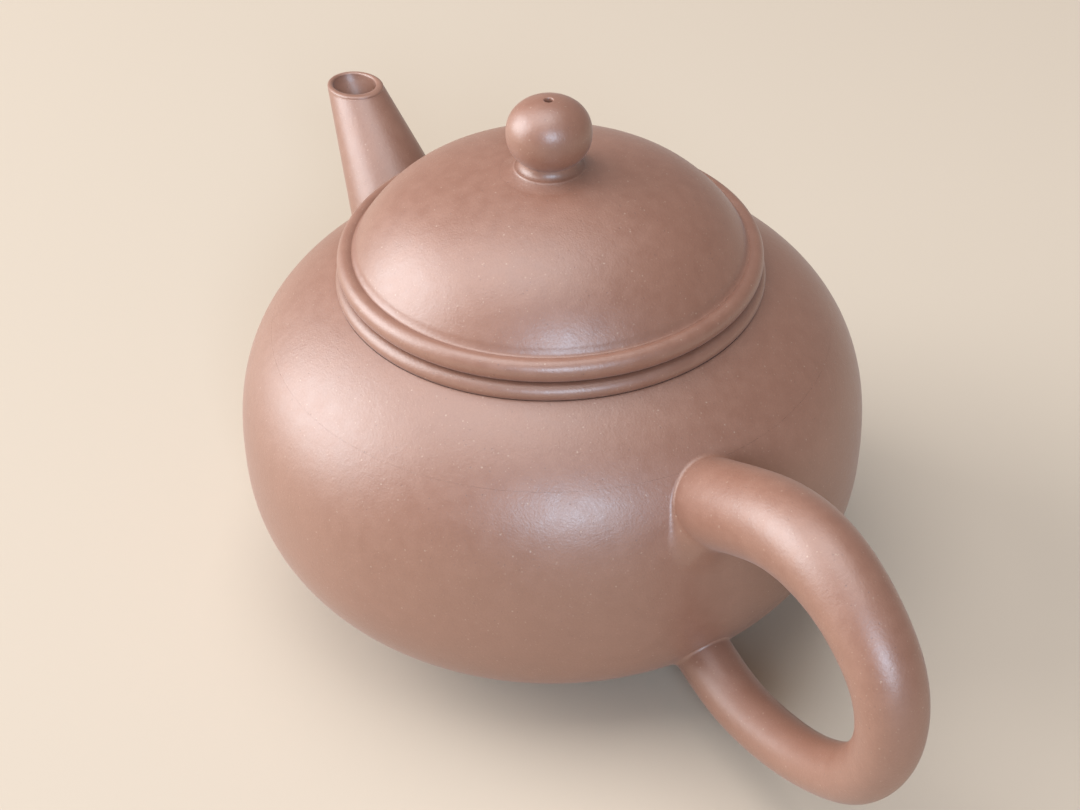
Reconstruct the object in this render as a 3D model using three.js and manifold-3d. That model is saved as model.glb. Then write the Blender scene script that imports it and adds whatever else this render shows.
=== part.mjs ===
// Small round clay teapot with a straight spout, a ring handle and a ball-knob lid.
// Millimetres, +Z up. The origin is the centre of the foot, on the surface it stands on.
// The spout points along +X and the handle along -X.
import * as THREE from 'three';
import { mergeVertices } from 'three/addons/utils/BufferGeometryUtils.js';
import Module from 'manifold-3d';

// ---------------------------------------------------------------- dimensions
const GAP = 0.3;              // luting line between neighbouring pieces
const SEG = 40;               // facets round the pot

// belly: two superellipse halves that meet at the widest level
const BELLY_R = 40.0;
const BELLY_Z = 21.9;
const BELLY_UP = 26.6;
const BELLY_UP_N = 2.65;
const BELLY_DOWN = 24.2;
const BELLY_DOWN_N = 2.28;
const WALL = 2.6;
const SEAM_LOW_Z = 1.3;       // base disc / belly wall
const SEAM_HIGH_Z = 38.8;     // belly wall / shoulder disc

// base
const FOOT_OUT_R = 19.0;
const FLOOR_T = 2.9;

// mouth
const MOUTH_R = 21.2;
const LEDGE_Z = 44.4;        // seat of the mouth ring on the shoulder disc
const LEDGE_R = 26.25;
const BEAD_R = 25.15;        // centre of the ring's rounded edge
const BEAD_Z = 45.5;
const BEAD_W = 1.3;
const BEAD_H = 1.05;
const MOUTH_UNDER_Z = 42.3;

// lid
const ROLL_Z = 48.15;
const ROLL_R = 24.85;
const ROLL_W = 1.25;          // half width and half height of the rolled edge
const ROLL_H = 1.3;
const SEAT_T = 1.9;
const SEAT_IN_R = 18.2;
const GROOVE_R = 24.05;
const DOME_Z = 49.8;
const DOME_H = 9.8;
const DOME_BOWL = 5.5;        // share of the fall that is parabolic; the rest turns down near the edge
const DOME_T = 2.4;
const NECK_SEAT_Z = 59.0;     // sunk seat for the knob's neck
const NECK_SEAT_R = 4.6;
const FLANGE_OUT_R = 20.7;
const FLANGE_IN_R = 18.4;
const FLANGE_H = 8.0;

// knob
const NECK_R = 3.4;
const NECK_FLARE_R = 5.6;
const KNOB_Z = 64.3;
const KNOB_R = 5.13;
const KNOB_HALF_H = 4.29;
const KNOB_POWER = 0.91;       // a touch squarer than an ellipse
const AIR_R_TOP = 0.6;
const AIR_R_LOW = 1.7;

// spout
const SPOUT_BASE = [34.0, 19.0];
const SPOUT_TIP = [60.0, 44.6];
const SPOUT_R_BASE = 10.0;
const SPOUT_R_TIP = 3.6;
const BORE_R_BASE = 7.2;
const BORE_R_TIP = 2.8;
const SPOUT_CUT = [60.0, 44.04];    // a point in the plane of the lip
const SPOUT_CUT_TILT = 4.6;        // degrees the lip drops towards +X

// strainer
const STRAINER_R = 8.2;
const STRAINER_H = 3.6;
const STRAINER_T = 1.6;
const STRAINER_HOLE_R = 1.1;

// handle: centre line in the XZ plane and the section radius along it
const HANDLE = [
  [-26.0, 28.9, 5.4], [-33.0, 32.6, 5.25], [-43.5, 38.4, 5.03], [-50.3, 41.4, 4.93], [-56.65, 42.15, 4.75],
  [-63.15, 40.25, 4.33], [-68.95, 35.2, 4.0], [-70.35, 27.7, 3.6], [-66.75, 19.05, 3.4], [-59.75, 13.45, 3.2],
  [-52.05, 10.4, 3.32], [-43.9, 9.25, 3.42], [-36.0, 11.1, 3.51], [-28.3, 13.3, 3.6],
];
const HANDLE_STEPS = 34;
const HANDLE_SIDES = 18;

const wasm = await Module();
wasm.setup();

// ---------------------------------------------------------------- helpers
function clean(geometry) {
  const g = geometry.clone();
  for (const name of Object.keys(g.attributes)) if (name !== 'position') g.deleteAttribute(name);
  const m = mergeVertices(g, 1e-4);
  const src = m.index.array, keep = [];
  for (let i = 0; i < src.length; i += 3) {
    const [a, b, c] = [src[i], src[i + 1], src[i + 2]];
    if (a !== b && b !== c && a !== c) keep.push(a, b, c);
  }
  const p = m.attributes.position.array;
  let volume = 0;
  for (let i = 0; i < keep.length; i += 3) {
    const [a, b, c] = [keep[i] * 3, keep[i + 1] * 3, keep[i + 2] * 3];
    volume += p[a] * (p[b + 1] * p[c + 2] - p[b + 2] * p[c + 1])
      - p[a + 1] * (p[b] * p[c + 2] - p[b + 2] * p[c])
      + p[a + 2] * (p[b] * p[c + 1] - p[b + 1] * p[c]);
  }
  if (volume < 0) for (let i = 0; i < keep.length; i += 3) [keep[i + 1], keep[i + 2]] = [keep[i + 2], keep[i + 1]];
  m.setIndex(keep);
  return m;
}

function toSolid(geometry) {
  const g = clean(geometry);
  return new wasm.Manifold(new wasm.Mesh({
    numProp: 3,
    vertProperties: new Float32Array(g.attributes.position.array),
    triVerts: new Uint32Array(g.index.array),
  }));
}

function toGeometry(solid) {
  const mesh = solid.getMesh();
  const g = new THREE.BufferGeometry();
  const v = new Float32Array(mesh.numVert * 3);
  for (let i = 0; i < mesh.numVert; i++) for (let k = 0; k < 3; k++) v[3 * i + k] = mesh.vertProperties[i * mesh.numProp + k];
  g.setAttribute('position', new THREE.BufferAttribute(v, 3));
  g.setIndex(new THREE.BufferAttribute(new Uint32Array(mesh.triVerts), 1));
  g.computeVertexNormals();
  return g;
}

// revolve an [r, z] outline about Z
function revolve(outline, segments = SEG) {
  const pts = outline.map(([r, z]) => new THREE.Vector2(Math.max(r, 0), z));
  const g = new THREE.LatheGeometry(pts, segments);
  g.rotateX(Math.PI / 2);
  return clean(g);
}
const ring = (outline, segments = SEG) => revolve([...outline, outline[0]], segments);

// belly radius at a height, for a surface offset outwards by d
function bellyRadius(z, d = 0) {
  const up = z >= BELLY_Z;
  const b = (up ? BELLY_UP : BELLY_DOWN) + d, n = up ? BELLY_UP_N : BELLY_DOWN_N;
  const t = Math.min(Math.abs(z - BELLY_Z) / b, 1);
  return (BELLY_R + d) * Math.pow(1 - Math.pow(t, n), 1 / n);
}
function bellyHeight(r, d = 0, up = true) {
  const b = (up ? BELLY_UP : BELLY_DOWN) + d, n = up ? BELLY_UP_N : BELLY_DOWN_N;
  const s = Math.min(r / (BELLY_R + d), 1);
  return BELLY_Z + (up ? 1 : -1) * b * Math.pow(1 - Math.pow(s, n), 1 / n);
}
// outline points on the belly between two heights, evenly spaced in angle
function bellyArc(z0, z1, d, count) {
  const a = (z) => {
    const b = (z >= BELLY_Z ? BELLY_UP : BELLY_DOWN) + d;
    return Math.sign(z - BELLY_Z) * Math.asin(Math.min(Math.abs(z - BELLY_Z) / b, 1));
  };
  const a0 = a(z0), a1 = a(z1), out = [];
  for (let i = 0; i <= count; i++) {
    const q = a0 + (a1 - a0) * i / count;
    const z = BELLY_Z + ((q >= 0 ? BELLY_UP : BELLY_DOWN) + d) * Math.sin(q);
    out.push([bellyRadius(z, d), z]);
  }
  return out;
}
function arc(cr, cz, rr, a0, a1, count) {
  const out = [];
  for (let i = 0; i <= count; i++) {
    const q = THREE.MathUtils.degToRad(a0 + (a1 - a0) * i / count);
    out.push([cr + rr * Math.cos(q), cz + rr * Math.sin(q)]);
  }
  return out;
}

// sweep a round section along a centre line, with its radius changing on the way
function sweep(points, radii, steps, sides) {
  const curve = new THREE.CatmullRomCurve3(points, false, 'centripetal');
  const shape = new THREE.Shape();
  for (let i = 0; i < sides; i++) {
    const q = 2 * Math.PI * i / sides;
    if (i === 0) shape.moveTo(Math.cos(q), Math.sin(q)); else shape.lineTo(Math.cos(q), Math.sin(q));
  }
  shape.closePath();
  const g = new THREE.ExtrudeGeometry(shape, { steps, bevelEnabled: false, extrudePath: curve });
  const centres = curve.getSpacedPoints(steps);
  const knots = points.map((p) => {
    let best = 0, near = Infinity;
    for (let i = 0; i <= 400; i++) {
      const d = curve.getPointAt(i / 400).distanceTo(p);
      if (d < near) { near = d; best = i / 400; }
    }
    return best;
  });
  const radiusAt = (u) => {
    let k = 0;
    while (k < knots.length - 2 && u > knots[k + 1]) k++;
    let w = (u - knots[k]) / (knots[k + 1] - knots[k]);
    w = Math.min(Math.max(w, 0), 1);
    w = w * w * (3 - 2 * w) * 0.5 + w * 0.5;
    return radii[k] + (radii[k + 1] - radii[k]) * w;
  };
  const pos = g.attributes.position, p = new THREE.Vector3();
  for (let i = 0; i < pos.count; i++) {
    p.fromBufferAttribute(pos, i);
    let best = 0, near = Infinity;
    centres.forEach((c, k) => { const d = c.distanceTo(p); if (d < near) { near = d; best = k; } });
    p.sub(centres[best]).multiplyScalar(radiusAt(best / steps)).add(centres[best]);
    pos.setXYZ(i, p.x, p.y, p.z);
  }
  return g;
}

const clay = (hex, roughness) => new THREE.MeshStandardMaterial({ color: hex, roughness, metalness: 0 });
const pot = new THREE.Group();
const lid = new THREE.Group();
function put(parent, name, geometry, material) {
  const mesh = new THREE.Mesh(geometry, material);
  mesh.name = name;
  parent.add(mesh);
  return mesh;
}

// ---------------------------------------------------------------- spout axis
const axisDir = new THREE.Vector2(SPOUT_TIP[0] - SPOUT_BASE[0], SPOUT_TIP[1] - SPOUT_BASE[1]);
const axisLen = axisDir.length();
axisDir.normalize();
const lean = Math.atan2(axisDir.x, axisDir.y);     // from +Z towards +X
function alongSpout(geometry) {
  geometry.rotateY(lean);
  geometry.translate(SPOUT_BASE[0], 0, SPOUT_BASE[1]);
  return geometry;
}
// a cone on the spout's axis, from s0 to s1 measured from the base point
function spoutCone(r0, r1, s0, s1, segments = 28) {
  const at = (s) => r0 + (r1 - r0) * s / axisLen;
  return toSolid(alongSpout(revolve([[0, s0], [at(s0), s0], [at(s1), s1], [0, s1]], segments)));
}
const boreCone = spoutCone(BORE_R_BASE, BORE_R_TIP, -9, axisLen + 12);

// ---------------------------------------------------------------- body pieces
// belly wall
{
  const outer = bellyArc(SEAM_LOW_Z + GAP / 2, SEAM_HIGH_Z - GAP / 2, 0, 16);
  const inner = bellyArc(SEAM_LOW_Z + 2.35, SEAM_HIGH_Z - 1.9, -WALL, 12).reverse();
  const wall = toSolid(ring([...outer, ...inner]));
  put(pot, 'belly_wall', toGeometry(wall.subtract(boreCone)), clay(0x97705f, 0.55));
}
// shoulder disc, with the mouth cut in it and a ledge for the mouth ring
{
  const outer = bellyArc(SEAM_HIGH_Z + GAP / 2, bellyHeight(LEDGE_R + 0.1, 0), 0, 5);
  const inner = bellyArc(SEAM_HIGH_Z - 1.9 + GAP, MOUTH_UNDER_Z - 0.3, -WALL, 4).reverse();
  put(pot, 'shoulder_disc', ring([...outer, [LEDGE_R, LEDGE_Z], [MOUTH_R, LEDGE_Z], [MOUTH_R, MOUTH_UNDER_Z], ...inner]), clay(0x9a7362, 0.55));
}
// base disc: flat underside with a softened edge
{
  const zo = SEAM_LOW_Z - GAP / 2, ro = bellyRadius(zo);
  const zi = SEAM_LOW_Z + 2.35 - GAP;
  const ri = bellyRadius(zi, -WALL);
  put(pot, 'base_disc', revolve([
    [0, 0], [FOOT_OUT_R, 0], [(FOOT_OUT_R + ro) / 2 + 0.1, zo * 0.42], [ro, zo], [ri, zi], [12, FLOOR_T + 0.9], [0, FLOOR_T + 1.1],
  ]), clay(0x946d5c, 0.6));
}
// mouth ring: low rounded ring that the lid's roll sits on
const mouthTop = BEAD_Z + BEAD_H;
{
  const edge = [];
  for (let i = 0; i <= 6; i++) {
    const q = THREE.MathUtils.degToRad(-18 + 103 * i / 6);
    edge.push([BEAD_R + BEAD_W * Math.cos(q), BEAD_Z + BEAD_H * Math.sin(q)]);
  }
  put(pot, 'mouth_ring', ring([
    [MOUTH_R, LEDGE_Z + GAP], [LEDGE_R - 0.4, LEDGE_Z + GAP], [LEDGE_R + 0.1, bellyHeight(LEDGE_R + 0.1) + GAP], ...edge,
    [MOUTH_R + 0.5, mouthTop], [MOUTH_R, mouthTop - 0.5],
  ]), clay(0x9c7564, 0.5));
}
// spout
{
  // below its root the cone draws in, so that its underside turns into the belly
  const side = (q) => SPOUT_R_BASE + (SPOUT_R_TIP - SPOUT_R_BASE) * q / axisLen - 0.035 * Math.max(4 - q, 0) ** 2;
  const edge = [-6, -4, -2, 0, 2, 4, axisLen + 8].map((q) => [side(q), q]);
  const outer = toSolid(alongSpout(revolve([[0, -6], ...edge, [0, axisLen + 8]], 28)));
  const above = toSolid(new THREE.BoxGeometry(60, 60, 60).translate(0, 0, 30)
    .rotateY(THREE.MathUtils.degToRad(SPOUT_CUT_TILT)).translate(SPOUT_CUT[0], 0, SPOUT_CUT[1]));
  const body = toSolid(revolve([[0, -12], ...bellyArc(BELLY_Z - BELLY_DOWN * 0.999, BELLY_Z + BELLY_UP * 0.999, GAP, 36), [0, 60]], 80));
  put(pot, 'spout', toGeometry(outer.subtract(above).subtract(boreCone).subtract(body)), clay(0x9a7464, 0.5));
}
// handle
{
  const pts = HANDLE.map(([x, z]) => new THREE.Vector3(x, 0, z));
  const tube = toSolid(sweep(pts, HANDLE.map((h) => h[2]), HANDLE_STEPS, HANDLE_SIDES));
  const body = toSolid(revolve([[0, -12], ...bellyArc(BELLY_Z - BELLY_DOWN * 0.999, BELLY_Z + BELLY_UP * 0.999, GAP, 36), [0, 60]], 80));
  put(pot, 'handle', toGeometry(tube.subtract(body)), clay(0x9a7464, 0.5));
}
// perforated strainer dome over the inside end of the spout
{
  const zIn = (r) => STRAINER_H * Math.sqrt(1 - (r / STRAINER_R) ** 2);
  const outline = [];
  const n = 6;
  for (let i = 0; i <= n; i++) { const r = STRAINER_R * Math.sin(Math.PI / 2 * i / n); outline.push([r, -zIn(r)]); }
  const ri = STRAINER_R - STRAINER_T;
  for (let i = n; i >= 0; i--) { const r = ri * Math.sin(Math.PI / 2 * i / n); outline.push([r, -(STRAINER_H - STRAINER_T) * Math.sqrt(1 - (r / ri) ** 2)]); }
  // local frame: +Z along the radial direction through the wall at the spout
  const zc = SPOUT_BASE[1] + 1.2;
  const rc = bellyRadius(zc, -WALL);
  const dz = 0.2, slope = (bellyRadius(zc + dz, -WALL) - bellyRadius(zc - dz, -WALL)) / (2 * dz);
  const tilt = Math.atan2(1, -slope);
  const place = (g) => g.rotateY(tilt).translate(rc, 0, zc);
  let dome = toSolid(place(revolve(outline, 20)));
  const cut = toSolid(ring([[200, -12], ...bellyArc(BELLY_Z - (BELLY_DOWN - WALL) * 0.98, BELLY_Z + (BELLY_UP - WALL) * 0.98, -WALL - GAP, 36), [200, 60]], 80));
  dome = dome.subtract(cut);
  const spots = [[0, 0]];
  for (let i = 0; i < 6; i++) spots.push([3.4 * Math.cos(i * Math.PI / 3), 3.4 * Math.sin(i * Math.PI / 3)]);
  for (const [x, y] of spots) {
    const hole = revolve([[0, -14], [STRAINER_HOLE_R, -14], [STRAINER_HOLE_R, 6], [0, 6]], 8);
    dome = dome.subtract(toSolid(place(hole.translate(x, y, 0))));
  }
  put(pot, 'spout_strainer', toGeometry(dome), clay(0x8f6a5a, 0.6));
}

// ---------------------------------------------------------------- lid pieces
// seat plate with the rounded roll at its edge
const seatZ = mouthTop + GAP;
const plateTop = seatZ + SEAT_T;
const roll = [];
for (let i = 0; i <= 9; i++) {
  const q = THREE.MathUtils.degToRad(-84 + 168 * i / 9);
  roll.push([ROLL_R + ROLL_W * Math.cos(q), ROLL_Z + ROLL_H * Math.sin(q)]);
}
put(lid, 'lid_rim', ring([
  [SEAT_IN_R, seatZ], ...roll, [GROOVE_R + GAP / 2, ROLL_Z + ROLL_H - 0.3],
  [GROOVE_R + GAP / 2, plateTop], [SEAT_IN_R, plateTop],
]), clay(0xa07a6a, 0.45));
// domed plate
const domeEdge = GROOVE_R - GAP / 2;
const domeBase = plateTop + GAP;
const domeAt = (r, drop = 0) => DOME_Z + DOME_H - drop - DOME_BOWL * (r / domeEdge) ** 2 - (DOME_H - DOME_BOWL) * (r / domeEdge) ** 6;
{
  const top = [], under = [];
  for (let i = 0; i <= 8; i++) { const r = domeEdge + (NECK_SEAT_R + 0.15 - domeEdge) * i / 8; top.push([r, domeAt(r)]); }
  const last = domeEdge - 4.6;
  for (let i = 0; i <= 5; i++) { const r = AIR_R_LOW + (last - AIR_R_LOW) * i / 5; under.push([r, Math.max(domeAt(r, DOME_T), domeBase + 0.4)]); }
  put(lid, 'lid_dome', ring([
    [domeEdge, domeBase], ...top, [NECK_SEAT_R, NECK_SEAT_Z], [AIR_R_LOW, NECK_SEAT_Z], ...under, [last + 0.4, domeBase],
  ]), clay(0x9b7565, 0.45));
}
// flange that drops inside the mouth
put(lid, 'lid_flange', ring([
  [FLANGE_IN_R, seatZ - GAP], [FLANGE_IN_R + 0.4, seatZ - FLANGE_H + 0.2], [FLANGE_IN_R + 0.7, seatZ - FLANGE_H],
  [FLANGE_OUT_R - 0.5, seatZ - FLANGE_H], [FLANGE_OUT_R - 0.1, seatZ - FLANGE_H + 0.5], [FLANGE_OUT_R, seatZ - GAP],
]), clay(0x8f6a5a, 0.6));
// neck with its flared foot, plugged into its seat
const neckFoot = domeAt(NECK_FLARE_R) + GAP;
const knobAngle = (r) => Math.acos(Math.pow(r / KNOB_R, 1 / KNOB_POWER));
const knobPoint = (q) => [KNOB_R * Math.pow(Math.cos(q), KNOB_POWER), KNOB_Z + Math.sign(q) * KNOB_HALF_H * Math.pow(Math.abs(Math.sin(q)), KNOB_POWER)];
const knobLow = knobPoint(-knobAngle(NECK_R))[1];
put(lid, 'knob_neck', ring([
  [AIR_R_LOW, NECK_SEAT_Z + GAP], [NECK_SEAT_R - GAP, NECK_SEAT_Z + GAP], [NECK_SEAT_R - 0.1, domeAt(NECK_SEAT_R) + GAP],
  [NECK_FLARE_R, neckFoot], [NECK_FLARE_R - 0.1, neckFoot + 0.14], [4.6, neckFoot + 0.27], [4.15, neckFoot + 0.42],
  [3.8, neckFoot + 0.66], [NECK_R, knobLow - GAP], [AIR_R_LOW, knobLow - GAP],
], 28), clay(0x9b7565, 0.45));
// ball knob with the air hole through it
{
  const pts = [];
  for (let i = 0; i <= 12; i++) {
    pts.push(knobPoint(-knobAngle(NECK_R) + (knobAngle(NECK_R) + knobAngle(AIR_R_TOP + 0.2)) * i / 12));
  }
  const top = pts[pts.length - 1][1];
  put(lid, 'knob', ring([[AIR_R_LOW, knobLow], ...pts, [AIR_R_TOP, top - 0.2], [AIR_R_TOP, KNOB_Z + 2], [AIR_R_LOW, KNOB_Z - 1]], 28), clay(0x9b7565, 0.4));
}

const teapot = new THREE.Group();
teapot.add(pot, lid);
export default teapot;
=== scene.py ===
"""Small round clay teapot: fine surfaces and unglazed-clay material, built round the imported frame."""

import math

import bpy
import numpy as np
from mathutils import Matrix, Vector


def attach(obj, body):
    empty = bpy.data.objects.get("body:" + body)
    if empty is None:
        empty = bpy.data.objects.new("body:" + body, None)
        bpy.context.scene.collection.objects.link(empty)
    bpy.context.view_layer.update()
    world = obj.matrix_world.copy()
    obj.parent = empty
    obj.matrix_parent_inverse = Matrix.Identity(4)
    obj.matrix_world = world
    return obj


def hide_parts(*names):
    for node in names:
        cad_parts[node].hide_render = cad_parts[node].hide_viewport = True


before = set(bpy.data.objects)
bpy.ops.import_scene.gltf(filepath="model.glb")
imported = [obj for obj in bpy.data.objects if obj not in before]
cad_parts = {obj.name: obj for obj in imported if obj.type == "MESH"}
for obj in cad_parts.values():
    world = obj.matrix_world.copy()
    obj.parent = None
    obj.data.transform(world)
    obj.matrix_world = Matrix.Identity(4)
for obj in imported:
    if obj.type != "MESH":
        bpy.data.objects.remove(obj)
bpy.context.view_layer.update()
MM = 0.001

# ------------------------------------------------------------------ camera
AZ, EL, DIST, TARGET_Z, SIDE, ROLL, FOCAL_PX = 151.51, 37.90, 235.44, 23.91, -1.62, -1.01, 1800.0
a, e, ro = math.radians(AZ), math.radians(EL), math.radians(ROLL)
back = Vector((math.cos(a) * math.cos(e), math.sin(a) * math.cos(e), math.sin(e)))
side = Vector((-math.sin(a), math.cos(a), 0))
up = back.cross(side)
eye = (Vector((0, 0, TARGET_Z)) + side * SIDE + back * DIST) * MM
cam_x = math.cos(ro) * side + math.sin(ro) * up
cam_y = -math.sin(ro) * side + math.cos(ro) * up
cam_data = bpy.data.cameras.new("camera")
cam_data.sensor_width = 36
cam_data.lens = FOCAL_PX / 1080 * 36
cam_data.clip_start = 0.01
cam_data.clip_end = 50
cam = bpy.data.objects.new("camera", cam_data)
bpy.context.scene.collection.objects.link(cam)
cam.matrix_world = Matrix((
    (cam_x.x, cam_y.x, back.x, eye.x),
    (cam_x.y, cam_y.y, back.y, eye.y),
    (cam_x.z, cam_y.z, back.z, eye.z),
    (0, 0, 0, 1)))
bpy.context.scene.camera = cam

# ------------------------------------------------------------------ dimensions, mm
BELLY_R, BELLY_Z = 40.0, 21.9
UP, UP_N, DOWN, DOWN_N = 26.6, 2.65, 24.2, 2.28
WALL = 2.6
FOOT_R = 19.0
SEAM_LOW, SEAM_HIGH = 1.3, 38.8
MOUTH_R = 21.2
LEDGE_R = 26.28
RING_R, RING_Z, RING_W, RING_H = 25.15, 45.5, 1.3, 1.17
ROLL_R, ROLL_Z, ROLL_W, ROLL_H = 24.85, 48.1, 1.25, 1.38
SEAT_Z = ROLL_Z - ROLL_H
DOME_EDGE, DOME_Z, DOME_H, DOME_BOWL = 23.9, 49.8, 9.8, 5.5
FLANGE_OUT, FLANGE_IN, FLANGE_LOW = 20.7, 18.4, 38.75
KNOB_Z, KNOB_R, KNOB_H, KNOB_POWER = 64.3, 5.13, 4.29, 0.91
NECK_R = 3.4
SPOUT_A, SPOUT_B = np.array([34.0, 0, 19.0]), np.array([60.0, 0, 44.6])
SPOUT_RA, SPOUT_RB, BORE_RA, BORE_RB = 10.0, 3.6, 7.2, 2.8
CUT_AT = np.array([60.0, 0, 44.04])          # a point in the plane of the lip
CUT_N = np.array([math.sin(math.radians(4.6)), 0, math.cos(math.radians(4.6))])
HANDLE = np.array([
    [-26.0, 28.9, 5.4], [-33.0, 32.6, 5.25], [-43.5, 38.4, 5.03], [-50.3, 41.4, 4.93], [-56.65, 42.15, 4.75],
    [-63.15, 40.25, 4.33], [-68.95, 35.2, 4.0], [-70.35, 27.7, 3.6], [-66.75, 19.05, 3.4], [-59.75, 13.45, 3.2],
    [-52.05, 10.4, 3.32], [-43.9, 9.25, 3.42], [-36.0, 11.1, 3.51], [-28.3, 13.3, 3.6]])
FINE = 2


# ------------------------------------------------------------------ belly surface
def belly_r(z, d=0.0):
    z = np.asarray(z, float)
    hi = z >= BELLY_Z
    b = np.where(hi, UP, DOWN) + d
    n = np.where(hi, UP_N, DOWN_N)
    t = np.clip(np.abs(z - BELLY_Z) / b, 0, 1)
    return (BELLY_R + d) * (1 - t ** n) ** (1 / n)


def belly_z(r, d=0.0, top=True):
    b, n = (UP + d, UP_N) if top else (DOWN + d, DOWN_N)
    s = min(r / (BELLY_R + d), 1)
    return BELLY_Z + (1 if top else -1) * b * (1 - s ** n) ** (1 / n)


def belly_arc(z0, z1, d=0.0, count=60):
    def ang(z):
        b = (UP if z >= BELLY_Z else DOWN) + d
        return math.copysign(math.asin(min(abs(z - BELLY_Z) / b, 1)), z - BELLY_Z)
    q = np.linspace(ang(z0), ang(z1), count)
    z = BELLY_Z + np.where(q >= 0, UP + d, DOWN + d) * np.sin(q)
    return np.stack([belly_r(z, d), z], 1)


def ellipse_arc(cr, cz, w, h, a0, a1, count):
    q = np.radians(np.linspace(a0, a1, count))
    return np.stack([cr + w * np.cos(q), cz + h * np.sin(q)], 1)


def bezier(p0, p1, p2, p3, count):
    t = np.linspace(0, 1, count)[:, None]
    p0, p1, p2, p3 = map(np.asarray, (p0, p1, p2, p3))
    return (1 - t) ** 3 * p0 + 3 * t * (1 - t) ** 2 * p1 + 3 * t * t * (1 - t) * p2 + t ** 3 * p3


# dense outline of the outer belly, for distances
_o = belly_arc(BELLY_Z - DOWN * 0.9995, BELLY_Z + UP * 0.9995, 0, 1600)
_t = np.gradient(_o, axis=0)
_t /= np.linalg.norm(_t, axis=1)[:, None]
_n = np.stack([_t[:, 1], -_t[:, 0]], 1)


def belly_near(p):
    """height above the outer belly surface, and the outward unit normal there"""
    p = np.asarray(p, float).reshape(-1, 3)
    rr = np.hypot(p[:, 0], p[:, 1])
    q = np.stack([rr, p[:, 2]], 1)
    k = np.empty(len(q), int)
    for i in range(0, len(q), 4000):
        dd = (q[i:i + 4000, None, 0] - _o[None, :, 0]) ** 2 + (q[i:i + 4000, None, 1] - _o[None, :, 1]) ** 2
        k[i:i + 4000] = dd.argmin(1)
    h = ((q - _o[k]) * _n[k]).sum(1)
    c, s = p[:, 0] / np.maximum(rr, 1e-9), p[:, 1] / np.maximum(rr, 1e-9)
    return h, np.stack([_n[k, 0] * c, _n[k, 0] * s, _n[k, 1]], 1)


# ------------------------------------------------------------------ mesh building
_rng = np.random.RandomState(7)
_waves = [(_rng.uniform(-1, 1, 3) / l, _rng.uniform(0, 6.28), amp)
          for l, amp, m in ((14.0, 0.030, 5), (6.0, 0.012, 6)) for _ in range(m)]


def hand_made(v):
    """a very slight unevenness of hand-scraped clay, the same field for every piece"""
    v = np.array(v, float)
    d = np.zeros(len(v))
    for k, ph, amp in _waves:
        d += amp * np.sin(v @ k + ph)
    rr = np.hypot(v[:, 0], v[:, 1])
    w = np.clip(rr / 12, 0, 1)
    u = v[:, :2] / np.maximum(rr, 1e-6)[:, None]
    v[:, :2] += u * (d * w)[:, None]
    return v


def make(name, verts, faces, sharp=32.0, uneven=True):
    v = hand_made(verts) if uneven else np.asarray(verts, float)
    me = bpy.data.meshes.new(name)
    me.from_pydata((v * MM).tolist(), [], faces)
    me.validate()
    me.update()
    o = bpy.data.objects.new(name, me)
    bpy.context.scene.collection.objects.link(o)
    fix_normals(o)
    smooth(o, sharp)
    return o


def fix_normals(o):
    import bmesh
    bm = bmesh.new()
    bm.from_mesh(o.data)
    bmesh.ops.recalc_face_normals(bm, faces=bm.faces)
    if bm.calc_volume(signed=True) < 0:
        bmesh.ops.reverse_faces(bm, faces=bm.faces)
    bm.to_mesh(o.data)
    bm.free()


def smooth(o, sharp=32.0):
    me = o.data
    me.polygons.foreach_set("use_smooth", [True] * len(me.polygons))
    me.set_sharp_from_angle(angle=math.radians(sharp))


def lathe(name, loop, seg=None, sharp=32.0):
    """revolve a closed [r, z] loop about Z; points on the axis become one vertex"""
    seg = seg or 144 * FINE
    pts = [tuple(p) for p in loop]
    clean = [pts[0]]
    for p in pts[1:]:
        if math.hypot(p[0] - clean[-1][0], p[1] - clean[-1][1]) > 1e-4:
            clean.append(p)
    if math.hypot(clean[0][0] - clean[-1][0], clean[0][1] - clean[-1][1]) < 1e-4:
        clean.pop()
    th = np.linspace(0, 2 * math.pi, seg, endpoint=False)
    verts, rows = [], []
    for r, z in clean:
        if r < 1e-6:
            rows.append([len(verts)] * seg)
            verts.append((0, 0, z))
        else:
            rows.append(list(range(len(verts), len(verts) + seg)))
            verts += [(r * math.cos(t), r * math.sin(t), z) for t in th]
    faces = []
    n = len(clean)
    for i in range(n):
        p, q = rows[i], rows[(i + 1) % n]
        if p[0] == p[-1] and q[0] == q[-1]:
            continue
        for j in range(seg):
            k = (j + 1) % seg
            f = [p[j], p[k], q[k], q[j]]
            g = []
            for x in f:
                if x not in g:
                    g.append(x)
            if len(g) > 2:
                faces.append(g)
    return make(name, verts, faces, sharp)


def skin(name, rings, closed_loop=False, sharp=32.0, uneven=True):
    """rings: (m, k, 3) array; joined ring to ring, with caps at both ends unless the rings close on themselves"""
    m, k, _ = rings.shape
    verts = rings.reshape(-1, 3).tolist()
    faces = []
    for i in range(m if closed_loop else m - 1):
        i2 = (i + 1) % m
        for j in range(k):
            j2 = (j + 1) % k
            faces.append([i * k + j, i * k + j2, i2 * k + j2, i2 * k + j])
    if not closed_loop:
        for i, flip in ((0, True), (m - 1, False)):
            c = len(verts)
            verts.append(rings[i].mean(0).tolist())
            for j in range(k):
                f = [i * k + j, i * k + (j + 1) % k, c]
                faces.append(f[::-1] if flip else f)
    return make(name, verts, faces, sharp, uneven)


def boolean(o, cutter, op="DIFFERENCE", sharp=32.0):
    mod = o.modifiers.new("b", "BOOLEAN")
    mod.operation = op
    mod.object = cutter
    mod.solver = "EXACT"
    dg = bpy.context.evaluated_depsgraph_get()
    me = bpy.data.meshes.new_from_object(o.evaluated_get(dg))
    o.modifiers.clear()
    old = o.data
    o.data = me
    bpy.data.meshes.remove(old)
    smooth(o, sharp)
    return o


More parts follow.
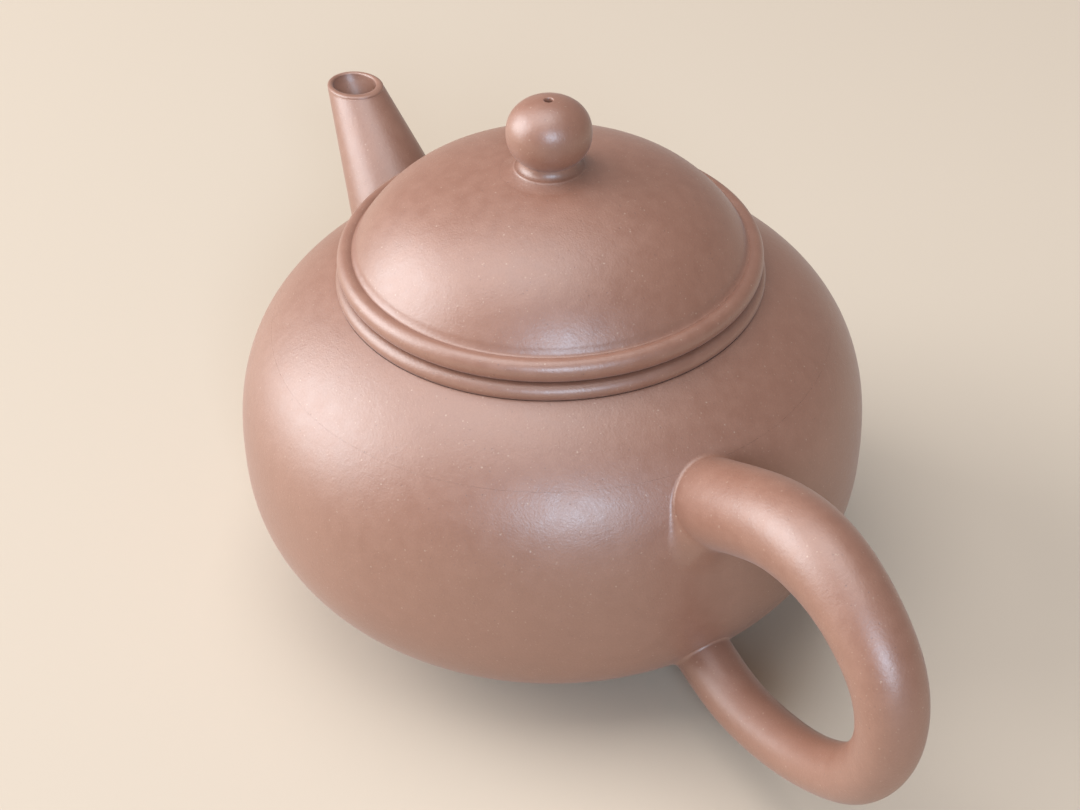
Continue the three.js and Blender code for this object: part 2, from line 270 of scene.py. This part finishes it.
def drop(*objs):
    for o in objs:
        me = o.data
        bpy.data.objects.remove(o)
        bpy.data.meshes.remove(me)


# ------------------------------------------------------------------ pot
seam = 0.004
outer = belly_arc(SEAM_LOW + seam, SEAM_HIGH - seam, 0, 90 * FINE)
inner = belly_arc(SEAM_LOW + 2.35, SEAM_HIGH - 1.9, -WALL, 45 * FINE)[::-1]
belly = lathe("belly", np.concatenate([outer, inner]), 180 * FINE)

ledge_z = belly_z(LEDGE_R)
outer = belly_arc(SEAM_HIGH + seam, ledge_z, 0, 26 * FINE)
inner = belly_arc(SEAM_HIGH - 1.9 + 0.02, 42.0, -WALL, 16)[::-1]
shoulder = lathe("shoulder", np.concatenate([
    outer, [[LEDGE_R - 0.15, ledge_z - 0.12], [LEDGE_R - 0.3, 44.42], [MOUTH_R, 44.42], [MOUTH_R, 42.8]],
    bezier([MOUTH_R, 42.8], [MOUTH_R, 42.35], [MOUTH_R + 0.2, 42.15], [MOUTH_R + 0.9, 42.1], 6)[1:], inner]), 180 * FINE)

ro_, zi_ = float(belly_r(SEAM_LOW)), SEAM_LOW + 2.33
edge = bezier([FOOT_R - 0.9, 0], [FOOT_R - 0.1, 0], [FOOT_R + 0.7, 0.12], [float(belly_r(0.62)), 0.62], 12)
up_to_seam = belly_arc(0.62, SEAM_LOW - seam, 0, 10)[1:]
foot = lathe("foot", np.concatenate([
    [[0, 0], [6, 0], [12, 0], [FOOT_R - 2.0, 0]], edge, up_to_seam,
    [[float(belly_r(zi_, -WALL)), zi_ - 0.02]],
    bezier([float(belly_r(zi_, -WALL)), zi_ - 0.02], [16, 3.3], [12, 3.8], [0, 4.0], 20)[1:]]), 180 * FINE)

ring_edge = ellipse_arc(RING_R, RING_Z, RING_W, RING_H, -34, 88, 16 * FINE)
mouth = lathe("mouth_collar", np.concatenate([
    [[MOUTH_R, 44.43], [LEDGE_R - 0.32, 44.43], [LEDGE_R - 0.2, 44.75]], ring_edge,
    [[MOUTH_R + 0.6, RING_Z + RING_H]],
    bezier([MOUTH_R + 0.6, RING_Z + RING_H], [MOUTH_R + 0.2, RING_Z + RING_H], [MOUTH_R, RING_Z + RING_H - 0.2], [MOUTH_R, RING_Z + RING_H - 0.6], 7)[1:]]), 180 * FINE)

# spout: tapering tube with a slanting tip, its foot flared on to the belly
ax = SPOUT_B - SPOUT_A
L = float(np.linalg.norm(ax))
ax = ax / L
side_n = np.array([-ax[2], 0, ax[0]])
yv = np.array([0, 1.0, 0])
K = 64 * FINE
ph = np.linspace(0, 2 * np.pi, K, endpoint=False)
rad = np.cos(ph)[:, None] * side_n + np.sin(ph)[:, None] * yv


def spout_outer_r(s):
    s = np.asarray(s, float)
    return SPOUT_RA + (SPOUT_RB - SPOUT_RA) * s / L - 0.035 * np.clip(4 - s, 0, None) ** 2


def bore_r(s):
    s = np.asarray(s, float)
    return BORE_RA + (BORE_RB - BORE_RA) * s / L


def spout_pt(s, rfun, j=None):
    s = np.asarray(s, float)
    rr_ = rfun(s)
    d = rad if j is None else rad[j]
    return SPOUT_A + s[..., None] * ax + rr_[..., None] * d


LEVELS = [-0.8, -0.1, 0.0, 0.006, 0.022, 0.05, 0.09, 0.145, 0.22, 0.32, 0.45, 0.62, 0.83, 1.1, 1.45, 1.9, 2.5, 3.2, 4.0]
if FINE == 1:
    LEVELS = [-0.8, 0.0, 0.015, 0.06, 0.145, 0.28, 0.5, 0.83, 1.4, 2.2, 3.2, 4.0]


def crossings(fn, lo, hi, levels, samples=200):
    """for each angle, the parameters where the height above the belly last equals each level"""
    s = np.linspace(lo, hi, samples)
    H = np.stack([belly_near(fn(np.full(K, q)))[0] for q in s])
    out = np.empty((len(levels), K))
    for j in range(K):
        for m, level in enumerate(levels):
            h = H[:, j] - level
            i = np.where((h[:-1] < 0) & (h[1:] >= 0))[0]
            i = i[-1] if len(i) else 0
            out[m, j] = s[i] + (s[i + 1] - s[i]) * (-h[i]) / (h[i + 1] - h[i] + 1e-12)
    return np.maximum.accumulate(out, axis=0)


def flare(P, C, rho):
    """push skin points near the belly outwards so that the skin meets it in a hollow fillet of radius rho"""
    shp = P.shape
    p, c = P.reshape(-1, 3), C.reshape(-1, 3)
    rho = np.broadcast_to(rho, shp[:-1]).reshape(-1)
    h, n = belly_near(p)
    t = p - c
    t = t - (t * n).sum(1)[:, None] * n
    t /= np.linalg.norm(t, axis=1)[:, None] + 1e-12
    hh = np.clip(h, 0, rho)
    d = rho - np.sqrt(np.clip(rho ** 2 - (rho - hh) ** 2, 0, None))
    d = np.where(h >= rho, 0, d)
    q = p + t * d[:, None]
    for _ in range(2):
        h2, n2 = belly_near(q)
        q = q + n2 * np.where(h < rho, h - h2, 0)[:, None]
    return q.reshape(shp)


S0 = crossings(lambda s: spout_pt(s, spout_outer_r), -9, 26, LEVELS)
# where the outer and inner cones reach the plane of the lip
lip_h = 0.40


def lip_s(rfun):
    s = np.full(K, L)
    for _ in range(30):
        s = s - ((spout_pt(s, rfun) - CUT_AT) @ CUT_N + lip_h) / (ax @ CUT_N)
    return s


s1 = lip_s(spout_outer_r)
b1 = lip_s(bore_r)
b0 = crossings(lambda s: spout_pt(s, bore_r), -14, 24, [-0.8])[0]
rings = []
rho_s = np.interp(np.cos(ph), [-1, -0.85, -0.3, 1], [0.4, 0.8, 2.6, 2.4])
for s in S0:
    rings.append(flare(spout_pt(s, spout_outer_r), SPOUT_A + s[:, None] * ax, rho_s))
for w in np.linspace(0, 1, 26 * FINE)[1:]:
    rings.append(spout_pt(S0[-1] + (s1 - S0[-1]) * w, spout_outer_r))
O_, I_ = spout_pt(s1, spout_outer_r), spout_pt(b1, bore_r)
for al in np.linspace(0, np.pi, 10 * FINE)[1:-1]:
    P = (O_ + I_) / 2 + (O_ - I_) / 2 * math.cos(al)
    P = P + CUT_N * (lip_h * math.sin(al) ** 0.8)
    rings.append(P)
for w in np.linspace(1, 0, 20 * FINE):
    rings.append(spout_pt(b0 + (b1 - b0) * w, bore_r))
spout = skin("spout_tube", np.array(rings), closed_loop=True)

# bore through the wall
cut_rings = np.array([spout_pt(np.full(K, s), lambda q: bore_r(q) + 0.01) for s in np.linspace(-4, 9, 8)])
cutter = skin("cutter", cut_rings)
boolean(belly, cutter)
drop(cutter)

# strainer dome inside the wall
zc = SPOUT_A[2] + 1.2
rc = float(belly_r(zc, -WALL))
slope = float((belly_r(zc + 0.2, -WALL) - belly_r(zc - 0.2, -WALL)) / 0.4)
tilt = math.atan2(1, -slope)
out_dir = np.array([math.sin(tilt), 0, math.cos(tilt)])
e1, e2 = np.array([math.cos(tilt), 0, -math.sin(tilt)]), yv
SR, SH, ST = 8.2, 3.6, 1.3
dome_loop = [(SR * math.sin(q), -SH * math.cos(q)) for q in np.linspace(0, math.pi / 2, 16)]
dome_loop += [(SR, 0.7), (SR - ST, 0.7)]
dome_loop += [((SR - ST) * math.sin(q), -(SH - ST) * math.cos(q)) for q in np.linspace(math.pi / 2, 0, 14)]
th = np.linspace(0, 2 * np.pi, 48, endpoint=False)


def local(points):
    p = np.asarray(points, float)
    return np.array([rc, 0, zc]) + p[:, :1] * e1 + p[:, 1:2] * e2 + p[:, 2:] * out_dir


def revolve_local(name, loop, seg, at=(0, 0)):
    tt = np.linspace(0, 2 * np.pi, seg, endpoint=False)
    verts, rows, faces = [], [], []
    for r, z in loop:
        if r < 1e-6:
            rows.append([len(verts)] * seg)
            verts.append((at[0], at[1], z))
        else:
            rows.append(list(range(len(verts), len(verts) + seg)))
            verts += [(at[0] + r * math.cos(t), at[1] + r * math.sin(t), z) for t in tt]
    for i in range(len(loop)):
        p, q = rows[i], rows[(i + 1) % len(loop)]
        if p[0] == p[-1] and q[0] == q[-1]:
            continue
        for j in range(seg):
            g = []
            for x in (p[j], p[(j + 1) % seg], q[(j + 1) % seg], q[j]):
                if x not in g:
                    g.append(x)
            if len(g) > 2:
                faces.append(g)
    return make(name, local(verts), faces, uneven=False)


strainer = revolve_local("strainer", dome_loop, 48)
holes = [(0, 0)] + [(3.3 * math.cos(q), 3.3 * math.sin(q)) for q in np.arange(6) * math.pi / 3]
holes += [(5.9 * math.cos(q), 5.9 * math.sin(q)) for q in (np.arange(9) + 0.5) * 2 * math.pi / 9]
for k_, (hx, hy) in enumerate(holes):
    c_ = revolve_local("hole", [(0, -6), (0.8, -6), (0.8, 3), (0, 3)], 12, (hx, hy))
    boolean(strainer, c_)
    drop(c_)

# handle
def spline(points, u):
    """centripetal Catmull-Rom through the points; u from 0 to 1 along the chord lengths"""
    p = np.asarray(points, float)
    q = np.vstack([2 * p[0] - p[1], p, 2 * p[-1] - p[-2]])
    t = np.concatenate([[0], np.cumsum(np.linalg.norm(np.diff(q[:, :2], axis=0), axis=1) ** 0.5)])
    lo, hi = t[1], t[-2]
    x = lo + (hi - lo) * np.asarray(u, float)
    i = np.clip(np.searchsorted(t, x, side="right") - 1, 1, len(p) - 1)
    P0, P1, P2, P3 = q[i - 1], q[i], q[i + 1], q[i + 2]
    t0, t1, t2, t3 = (t[i + k][:, None] for k in (-1, 0, 1, 2))
    x = x[:, None]
    A1 = (t1 - x) / (t1 - t0) * P0 + (x - t0) / (t1 - t0) * P1
    A2 = (t2 - x) / (t2 - t1) * P1 + (x - t1) / (t2 - t1) * P2
    A3 = (t3 - x) / (t3 - t2) * P2 + (x - t2) / (t3 - t2) * P3
    B1 = (t2 - x) / (t2 - t0) * A1 + (x - t0) / (t2 - t0) * A2
    B2 = (t3 - x) / (t3 - t1) * A2 + (x - t1) / (t3 - t1) * A3
    return (t2 - x) / (t2 - t1) * B1 + (x - t1) / (t2 - t1) * B2


uu = np.linspace(0, 1, 3000)
cl = spline(HANDLE, uu)
for _ in range(3):
    pad = np.vstack([np.repeat(cl[:1], 60, 0), cl, np.repeat(cl[-1:], 60, 0)])
    ker = np.ones(121) / 121
    sm = np.stack([np.convolve(pad[:, i], ker, "valid") for i in range(3)], 1)
    cl[60:-60] = sm[60:-60]
arc_len = np.concatenate([[0], np.cumsum(np.linalg.norm(np.diff(cl[:, :2], axis=0), axis=1))])
TOTAL = arc_len[-1]
tan = np.gradient(cl[:, :2], arc_len, axis=0)
tan /= np.linalg.norm(tan, axis=1)[:, None]


def handle_pt(s):
    """skin points for arc positions s (K,)"""
    x, z, r = (np.interp(s, arc_len, cl[:, i]) for i in range(3))
    tx, tz = np.interp(s, arc_len, tan[:, 0]), np.interp(s, arc_len, tan[:, 1])
    C = np.stack([x, np.zeros_like(x), z], 1)
    n = np.stack([tz, np.zeros_like(x), -tx], 1)
    n /= np.linalg.norm(n, axis=1)[:, None]
    n = -n if HANDLE_FLIP else n
    return C + r[:, None] * (np.cos(ph)[:, None] * n + np.sin(ph)[:, None] * yv), C


HANDLE_FLIP = False
_p, _c = handle_pt(np.full(K, TOTAL / 2))
if np.linalg.norm(_p[0] - np.array([-52, 0, 26])) < np.linalg.norm(_c[0] - np.array([-52, 0, 26])):
    HANDLE_FLIP = True


up_side = np.cos(ph)           # +1 on the outside of the loop
rho_top = np.interp(up_side, [-1, -0.8, -0.5, -0.2, 0.1, 0.5, 0.8, 1], [4.0, 3.8, 2.6, 1.2, 0.55, 0.35, 0.35, 0.5])
rho_low = 0.55 + 0.15 * up_side
T0 = crossings(lambda s: handle_pt(s)[0], 0, 32, LEVELS)
T1 = TOTAL - crossings(lambda s: handle_pt(TOTAL - s)[0], 0, 32, LEVELS)
rings = [flare(*handle_pt(s), rho_top) for s in T0]
for w in np.linspace(0, 1, 84 * FINE)[1:-1]:
    rings.append(handle_pt(T0[-1] + (T1[-1] - T0[-1]) * w)[0])
rings += [flare(*handle_pt(s), rho_low) for s in T1[::-1]]
handle = skin("handle_loop", np.array(rings))

# ------------------------------------------------------------------ lid
def dome_z(r, drop_=0.0):
    x = np.asarray(r, float) / DOME_EDGE
    return DOME_Z + DOME_H - drop_ - DOME_BOWL * x ** 2 - (DOME_H - DOME_BOWL) * x ** 6


plate = SEAT_Z + 2.1
groove_r, groove_z = 24.30, 49.35
roll = ellipse_arc(ROLL_R, ROLL_Z, ROLL_W, ROLL_H, -86, 116, 34 * FINE)
lid_edge = lathe("lid_edge", np.concatenate([
    [[18.2, SEAT_Z + 0.02], [ROLL_R - 0.5, SEAT_Z + 0.02]], roll,
    [[groove_r + 0.004, groove_z], [groove_r + 0.004, plate], [18.2, plate]]]), 180 * FINE)

rr = np.linspace(23.58, 5.9, 60 * FINE)
crown_top = np.stack([rr, dome_z(rr)], 1)
under_r = np.linspace(1.7, 19.2, 30)
under = np.stack([under_r, np.maximum(dome_z(under_r, 2.4), plate + 0.5)], 1)
lid_crown = lathe("lid_crown", np.concatenate([
    [[groove_r - 0.004, plate + 0.01], [groove_r - 0.004, groove_z]],
    bezier([groove_r - 0.004, groove_z], [24.06, groove_z + 0.01], [23.82, groove_z + 0.36], crown_top[0], 12)[1:-1],
    crown_top, [[4.6, float(dome_z(5.0)) - 0.1], [4.6, 59.05], [1.7, 59.05]], under, [[19.6, plate + 0.01]]]), 180 * FINE)

lid_collar = lathe("lid_collar", np.concatenate([
    [[FLANGE_IN, SEAT_Z + 0.01]],
    bezier([FLANGE_IN + 0.35, FLANGE_LOW + 0.7], [FLANGE_IN + 0.4, FLANGE_LOW + 0.2], [FLANGE_IN + 0.7, FLANGE_LOW], [FLANGE_IN + 1.1, FLANGE_LOW], 8),
    bezier([FLANGE_OUT - 0.8, FLANGE_LOW], [FLANGE_OUT - 0.4, FLANGE_LOW], [FLANGE_OUT - 0.1, FLANGE_LOW + 0.3], [FLANGE_OUT - 0.1, FLANGE_LOW + 0.8], 8),
    [[FLANGE_OUT, SEAT_Z + 0.01]]]), 120 * FINE)

# neck: fine lip at its foot, hollow curve up to a soft ridge, then the waist under the ball
def knob_angle(r):
    return math.acos((r / KNOB_R) ** (1 / KNOB_POWER))


def knob_arc(qa, qb, count):
    q = np.linspace(qa, qb, count)
    return np.stack([KNOB_R * np.cos(q) ** KNOB_POWER, KNOB_Z + np.sign(q) * KNOB_H * np.abs(np.sin(q)) ** KNOB_POWER], 1)


knob_low = float(knob_arc(-knob_angle(NECK_R), 0, 2)[0, 1])
foot_z = float(dome_z(5.0))
neck_loop = np.concatenate([
    [[1.7, 59.06], [4.59, 59.06], [4.59, foot_z - 0.1], [5.9, float(dome_z(5.9))]],
    bezier([5.9, float(dome_z(5.9))], [5.35, float(dome_z(5.35)) + 0.03], [4.7, foot_z + 0.22], [4.33, foot_z + 0.44], 16)[1:],
    bezier([4.33, foot_z + 0.44], [4.27, foot_z + 0.54], [4.2, foot_z + 0.57], [4.08, foot_z + 0.60], 5)[1:],
    bezier([4.08, foot_z + 0.60], [3.75, foot_z + 0.68], [3.46, foot_z + 1.0], [NECK_R, knob_low - 0.01], 12)[1:],
    [[1.7, knob_low - 0.01]]])
neck = lathe("knob_foot", neck_loop, 96 * FINE)

hole_r = 0.5
ball = knob_arc(-knob_angle(NECK_R), knob_angle(hole_r + 0.22), 60 * FINE)
knob = lathe("knob_ball", np.concatenate([
    [[1.7, knob_low]], ball,
    bezier(ball[-1], [hole_r + 0.08, ball[-1][1] + 0.02], [hole_r, ball[-1][1] - 0.06], [hole_r, ball[-1][1] - 0.4], 8)[1:],
    [[hole_r + 0.1, KNOB_Z + 1], [1.7, KNOB_Z - 1.2]]]), 96 * FINE)


# ------------------------------------------------------------------ clay
def clay(name, tint=(1, 1, 1), rough=0.0):
    m = bpy.data.materials.new(name)
    m.use_nodes = True
    nt = m.node_tree
    nt.nodes.clear()
    N = lambda t, **k: _node(nt, t, **k)
    out = N("ShaderNodeOutputMaterial")
    bs = N("ShaderNodeBsdfPrincipled")
    nt.links.new(bs.outputs[0], out.inputs[0])
    tc = N("ShaderNodeTexCoord")
    mp = N("ShaderNodeMapping")
    mp.inputs["Scale"].default_value = (1000, 1000, 1000)
    nt.links.new(tc.outputs["Object"], mp.inputs["Vector"])
    P = mp.outputs["Vector"]

    def noise(scale, detail, rough_=0.55):
        n = N("ShaderNodeTexNoise")
        n.inputs["Scale"].default_value = scale
        n.inputs["Detail"].default_value = detail
        n.inputs["Roughness"].default_value = rough_
        nt.links.new(P, n.inputs["Vector"])
        return n.outputs["Fac"]

    def ramp(src, p0, p1, c0=0.0, c1=1.0):
        r = N("ShaderNodeMapRange")
        r.inputs[1].default_value = p0
        r.inputs[2].default_value = p1
        r.inputs[3].default_value = c0
        r.inputs[4].default_value = c1
        nt.links.new(src, r.inputs[0])
        return r.outputs[0]

    def mix(f, a_, b_, mode="MIX"):
        x = N("ShaderNodeMix", data_type="RGBA", blend_type=mode)
        if isinstance(f, float):
            x.inputs[0].default_value = f
        else:
            nt.links.new(f, x.inputs[0])
        for i, c in ((6, a_), (7, b_)):
            if isinstance(c, tuple):
                x.inputs[i].default_value = (*[c[k] * (tint[k] if k < 3 else 1) for k in range(3)], 1)
            else:
                nt.links.new(c, x.inputs[i])
        return x.outputs[2]

    def math_(op, a_, b_=None):
        x = N("ShaderNodeMath", operation=op)
        for i, c in enumerate((a_, b_)):
            if c is None:
                continue
            if isinstance(c, (int, float)):
                x.inputs[i].default_value = c
            else:
                nt.links.new(c, x.inputs[i])
        return x.outputs[0]

    broad = noise(0.045, 3)
    mottle = noise(0.55, 4)
    grain = noise(5.0, 3, 0.7)
    base = mix(ramp(broad, 0.35, 0.65), (0.262, 0.112, 0.069, 1), (0.296, 0.133, 0.084, 1))
    base = mix(ramp(mottle, 0.35, 0.7, 0.0, 0.55), base, (0.330, 0.155, 0.100, 1))
    base = mix(ramp(grain, 0.3, 0.7, 0.0, 0.35), base, (0.218, 0.093, 0.058, 1))

    def specks(scale, radius, keep):
        v = N("ShaderNodeTexVoronoi", feature="F1")
        v.inputs["Scale"].default_value = scale
        v.inputs["Randomness"].default_value = 1.0
        nt.links.new(P, v.inputs["Vector"])
        sep = N("ShaderNodeSeparateColor")
        nt.links.new(v.outputs["Color"], sep.inputs[0])
        near = ramp(v.outputs["Distance"], radius, radius * 0.55)
        pick = math_("GREATER_THAN", sep.outputs[0], 1 - keep)
        return math_("MULTIPLY", near, math_("MULTIPLY", pick, ramp(sep.outputs[1], 0, 1, 0.35, 1.0)))

    light = specks(1.15, 0.16, 0.22)
    fine = specks(3.2, 0.30, 0.12)
    dark = specks(1.9, 0.22, 0.10)
    base = mix(math_("MULTIPLY", light, 0.42), base, (0.56, 0.40, 0.30, 1))
    base = mix(math_("MULTIPLY", fine, 0.40), base, (0.50, 0.34, 0.25, 1))
    base = mix(math_("MULTIPLY", dark, 0.45), base, (0.10, 0.055, 0.045, 1))
    nt.links.new(base, bs.inputs["Base Color"])

    rg = math_("ADD", ramp(mottle, 0.3, 0.7, 0.40 + rough, 0.47 + rough), ramp(grain, 0.2, 0.8, -0.03, 0.05))
    nt.links.new(rg, bs.inputs["Roughness"])
    bs.inputs["Specular IOR Level"].default_value = 1.0
    bs.inputs["IOR"].default_value = 1.58
    bs.inputs["Sheen Weight"].default_value = 0.10
    bs.inputs["Sheen Roughness"].default_value = 0.45
    bs.inputs["Sheen Tint"].default_value = (1.0, 0.93, 0.90, 1)

    b1 = N("ShaderNodeBump")
    b1.inputs["Strength"].default_value = 0.55
    b1.inputs["Distance"].default_value = 0.00004
    height = math_("ADD", math_("MULTIPLY", noise(3.2, 4, 0.65), 1.0), math_("MULTIPLY", noise(0.8, 3), 1.4))
    height = math_("ADD", height, math_("MULTIPLY", math_("ADD", light, dark), -0.5))
    nt.links.new(height, b1.inputs["Height"])
    nt.links.new(b1.outputs[0], bs.inputs["Normal"])
    return m


def _node(nt, t, **k):
    n = nt.nodes.new(t)
    for a_, v in k.items():
        setattr(n, a_, v)
    return n


pieces = {
    "belly": (belly, "pot", "belly_wall", "clay_wall"), "shoulder": (shoulder, "pot", "shoulder_disc", "clay_shoulder"),
    "foot": (foot, "pot", "base_disc", "clay_base"), "mouth_collar": (mouth, "pot", "mouth_ring", "clay_mouth"),
    "spout_tube": (spout, "pot", "spout", "clay_spout"), "strainer": (strainer, "pot", "spout_strainer", "clay_strainer"),
    "handle_loop": (handle, "pot", "handle", "clay_handle"), "lid_edge": (lid_edge, "lid", "lid_rim", "clay_lid_rim"),
    "lid_crown": (lid_crown, "lid", "lid_dome", "clay_lid"), "lid_collar": (lid_collar, "lid_carrier", "lid_flange", "clay_flange"),
    "knob_foot": (neck, "lid", "knob_neck", "clay_neck"), "knob_ball": (knob, "lid", "knob", "clay_knob")}
pot_clay = clay("pot_clay")
lid_clay = clay("lid_clay", (1.02, 1.0, 0.99), -0.01)
raw_clay = clay("inside_clay", (0.93, 0.92, 0.92), 0.10)
for key, (o, body, node, slot) in pieces.items():
    o.data.materials.clear()
    o.data.materials.append(raw_clay if key in ("strainer", "lid_collar") else lid_clay if body == "lid" else pot_clay)
    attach(o, body)
    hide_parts(node)

# ------------------------------------------------------------------ stage
bpy.ops.mesh.primitive_plane_add(size=6, location=(0, 0, -0.00002))
floor = bpy.context.object
floor.name = "floor"
fm = bpy.data.materials.new("floor")
fm.use_nodes = True
fb = fm.node_tree.nodes["Principled BSDF"]
fb.inputs["Base Color"].default_value = (0.58, 0.48, 0.38, 1)
fb.inputs["Roughness"].default_value = 0.8
floor.data.materials.append(fm)

world = bpy.data.worlds.new("world")
bpy.context.scene.world = world
world.use_nodes = True
bg = world.node_tree.nodes["Background"]
bg.inputs[0].default_value = (0.88, 0.82, 0.78, 1)
bg.inputs[1].default_value = 0.28


def area(name, pos, target, size, power, color=(1, 1, 1), size_y=None):
    ld = bpy.data.lights.new(name, "AREA")
    ld.shape = "RECTANGLE"
    ld.size = size
    ld.size_y = size_y or size
    ld.energy = power
    ld.color = color
    o = bpy.data.objects.new(name, ld)
    bpy.context.scene.collection.objects.link(o)
    o.location = pos
    o.rotation_euler = (Vector(target) - Vector(pos)).to_track_quat("-Z", "Y").to_euler()
    return o


centre = Vector((0, 0, 0.03))


def around(azimuth, elevation, distance):
    """position seen from the pot in a given direction, azimuth from +X towards +Y, in degrees"""
    p, q = math.radians(azimuth), math.radians(elevation)
    return centre + Vector((math.cos(p) * math.cos(q), math.sin(p) * math.cos(q), math.sin(q))) * distance


# large soft window, low and a little behind the pot
area("window", around(54, 24, 1.2), centre, 1.0, 20.5, (0.94, 0.975, 1.0), 1.0)
# cool window on the camera's side
area("lamp", around(158, 28, 1.2), centre, 0.34, 9.0, (0.62, 0.80, 1.0), 0.26)
# soft overhead fill
area("overhead", around(60, 80, 1.0), centre, 0.85, 7.0, (0.97, 0.98, 1.0))

bpy.context.scene.view_settings.view_transform = "Standard"
bpy.context.scene.view_settings.look = "None"
